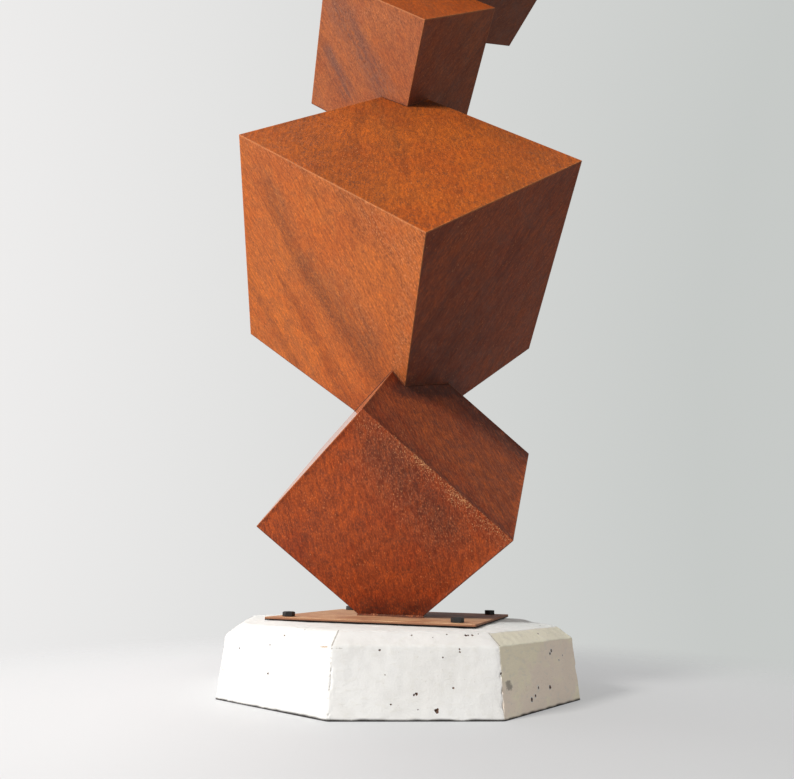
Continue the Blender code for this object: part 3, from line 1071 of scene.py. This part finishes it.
def wear_plinth(mesh, foot, height):
    """Moves each point in to the softened, chipped surface, and paints where it grows dirty, the painted
    shade along its foot and the painted light and warm shade by the way each side faces.
    """
    normals, offsets = plinth_planes(foot, height)
    points = gather(mesh.vertices, "co", 3)
    for _ in range(2):
        depths = points @ normals.T - offsets
        weights = np.exp((depths - depths.max(axis=1)[:, None]) / ARRIS_SOFTNESS)
        total = weights.sum(axis=1)
        surface = depths.max(axis=1) + ARRIS_SOFTNESS * np.log(total)
        slope = weights @ normals / total[:, None]
        points -= slope * (surface / (slope**2).sum(axis=1))[:, None]
    depths = points @ normals.T - offsets
    nearest = np.sort(depths, axis=1)
    edge = np.exp((nearest[:, -2] - nearest[:, -1]) / CHIP_WIDTH)
    belt = height - CHAMFER_DROP
    on_wall = 1 - ease(belt - 0.006, belt - 0.002, points[:, 2])
    chipped = ease(0.3, 1.5, ripples(points, CHIP_LENGTH, 8) + 0.7 * ripples(points, CHIP_LENGTH / 4, 18))
    uneven = PLASTER_WAVE * (1.2 + ripples(points, 0.06, 21) + 0.4 * ripples(points, 0.012, 22))
    above = ease(0.0, 0.002, points[:, 2])
    sunk = CHIP_DEPTH * chipped * edge * (0.08 + 0.92 * on_wall) + np.clip(uneven, 0, None)
    worn = points - unit(slope) * (sunk * above)[:, None]
    mesh.vertices.foreach_set("co", worn.ravel())
    mesh.update()
    # Painted warm shade on the sides that face right, and painted light on the right chamfers and on the top
    paint(mesh, "warm", ease(0.1, 0.6, slope[:, 0]))
    paint(mesh, "chamfer", ease(0.1, 0.6, slope[:, 0]) * ease(0.3, 0.6, slope[:, 2]))
    paint(mesh, "level", ease(0.85, 0.99, slope[:, 2]))
    # A painted shade line along the foot
    paint(mesh, "foot", 1 - ease(*FOOT_LINE, points[:, 2] - FOOT_LINE_RIPPLE * ripples(points, 0.02, 31)))
    # The lowest few millimetres get painted shade, carried with the dirty arrises
    low = 1 - ease(0.0, 0.0035, points[:, 2])
    pixels = to_pixels(points)
    seen = ((np.array(CAMERA_PLACE) - points) * slope).sum(axis=1) > 0
    gathered = {"dirt_and_shade": edge * (0.06 + 0.4 * chipped) * on_wall + 0.7 * low, "stain": np.zeros(len(points))}
    for kind, marks in PLINTH_MARKS.items():
        covered = gathered[kind]
        for mark in marks:
            covered = np.maximum(covered, stroke(pixels, *mark) * seen)
        paint(mesh, kind, covered)


def pit_tool(surface):
    """Small rough hollows to cut out: those that the photograph shows, and others scattered out of sight."""
    chance = np.random.default_rng(6)
    spots = []
    for x, y, width in PITS:
        hit, normal, _, distance = surface.ray_cast(CAMERA_PLACE, pixel_ray(x, y))
        spots.append((hit, normal, width / 2 * distance / FOCAL_PIXELS))
    for _ in range(HIDDEN_PITS):
        heading = chance.uniform(-0.2 * pi, 1.1 * pi)
        start = Vector((cos(heading), sin(heading), chance.uniform(0.0, 0.6)))
        target = Vector((*chance.uniform(-0.15, 0.15, 2), 0.045))
        hit, normal, _, _ = surface.ray_cast(start, (target - start).normalized())
        radius = chance.uniform(*HIDDEN_PIT_RADII)
        if normal.dot(CAMERA_PLACE - hit) < 0:
            spots.append((hit, normal, radius))
    shape = bmesh.new()
    for hit, normal, radius in spots:
        rough = [Vector(chance.uniform(-0.35, 0.35, 3)) for _ in range(42)]
        place = Matrix.Translation(hit) @ normal.to_track_quat("Z", "Y").to_matrix().to_4x4()
        made = bmesh.ops.create_icosphere(shape, subdivisions=2, radius=radius)
        for vertex, shove in zip(made["verts"], rough):
            vertex.co += shove * radius
            vertex.co.z *= 0.8
        bmesh.ops.transform(shape, matrix=place, verts=made["verts"])
    return settle(shape, bpy.data.meshes.new("pits"))


def make_plinth():
    foot, _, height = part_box("plinth")[1]
    mesh = plinth_mesh("plinth_casting", foot, height)
    wear_plinth(mesh, foot, height)
    finishes = (white_plaster(), pit_brown())
    plinth = make_piece("plinth_casting", mesh, *finishes)
    surface = BVHTree.FromObject(plinth, bpy.context.evaluated_depsgraph_get())
    pits = make_piece("pits", pit_tool(surface), *finishes)
    pits.data.polygons.foreach_set("material_index", [1] * len(pits.data.polygons))
    cut(plinth, pits, "MANIFOLD")
    plinth.data.shade_smooth()
    plinth.data.set_sharp_from_angle(angle=PLINTH_CREASE)
    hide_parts("plinth")
    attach(plinth, "root")


def make_camera():
    """The photograph's own camera, found from the edges and corners that it shows."""
    data = bpy.data.cameras.new("camera")
    camera = add_object("camera", data)
    bpy.context.scene.camera = camera
    data.sensor_width = SENSOR_WIDTH
    data.lens = FOCAL_PIXELS * SENSOR_WIDTH / PHOTO_WIDTH
    data.shift_x = (PHOTO_WIDTH / 2 - CENTRE_X) / PHOTO_WIDTH
    data.shift_y = (CENTRE_Y - PHOTO_HEIGHT / 2) / PHOTO_WIDTH
    data.clip_start = 0.05
    right, up, ahead = camera_axes()
    camera.matrix_world = Matrix.Translation(CAMERA_PLACE) @ Matrix((right, up, -ahead)).transposed().to_4x4()


def camera_axes():
    """The directions to the camera's right, up and ahead."""
    east = cos(CAMERA_HEADING)
    north = sin(CAMERA_HEADING)
    level = Vector((east, north, 0.0))
    ahead = Vector((-north * cos(CAMERA_PITCH), east * cos(CAMERA_PITCH), sin(CAMERA_PITCH)))
    down = ahead.cross(level)
    right = cos(CAMERA_ROLL) * level + sin(CAMERA_ROLL) * down
    up = sin(CAMERA_ROLL) * level - cos(CAMERA_ROLL) * down
    return right, up, ahead


def add_light(light):
    data = bpy.data.lights.new(light.name, "AREA")
    data.shape = "SQUARE"
    data.size = light.size
    data.energy = light.power
    data.color = light.colour
    lamp = add_object(light.name, data)
    lamp.location = LIT_PLACE + light.direction.normalized() * light.distance
    lamp.rotation_euler = light.direction.to_track_quat("Z", "Y").to_euler()


def make_room():
    """A pale floor that fades into a pale backdrop, bright on the left and greyer on the right."""
    for light in LIGHTS:
        add_light(light)
    world = bpy.data.worlds.new("backdrop")
    bpy.context.scene.world = world
    world.use_nodes = True
    sky = Tree(world.node_tree)
    direction = sky.node("ShaderNodeTexCoord", {}, {}, "Generated")
    across = sky.axis(direction, "X")
    share = sky.node("ShaderNodeMapRange", {}, {"Value": across, "From Min": -0.45, "From Max": 0.5})
    seen = sky.mix(share, BACKDROP_LEFT, BACKDROP_RIGHT)
    lit = sky.mix(share, ROOM_LIGHT_LEFT, ROOM_LIGHT_RIGHT)
    camera_ray = sky.node("ShaderNodeLightPath", {}, {}, "Is Camera Ray")
    looked_at = camera_ray.math("MAXIMUM", camera_ray.beside("Is Glossy Ray"))
    sky.feed(sky.nodes["Background"].inputs["Color"], sky.mix(looked_at, lit, seen))

    shape = bmesh.new()
    bmesh.ops.create_circle(shape, cap_ends=True, segments=96, radius=FLOOR_RADIUS)
    shader = Shader("floor_white", Base_Color=(0.36, 0.36, 0.36, 1.0), Roughness=0.8, Emission_Strength=1.0)
    centred = shader.mapped(shader.places(), scale=(1 / FLOOR_RADIUS, 1 / FLOOR_RADIUS, 1.0))
    distance = shader.node("ShaderNodeVectorMath", {"operation": "LENGTH"}, {0: centred}, "Value")
    across = shader.axis(shader.places(), "X")
    glow = shader.mix(shader.step(across, -0.35, 0.05), FLOOR_LEFT, FLOOR_RIGHT)
    shader.finish(Emission_Color=glow, Alpha=shader.step(distance, 0.42, 0.16))
    floor = make_piece("floor", settle(shape, bpy.data.meshes.new("floor")), shader.material)


scene = bpy.context.scene
scene.view_settings.view_transform = "Standard"
make_camera()
make_room()
add_welds(make_cubes())
make_plinth()
coats = {"base_plate": rusty_plate(), "bolt": black_steel()}
for node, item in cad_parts.items():
    for start, finish in coats.items():
        if node.startswith(start):
            item.data.materials.clear()
            item.data.materials.append(finish)
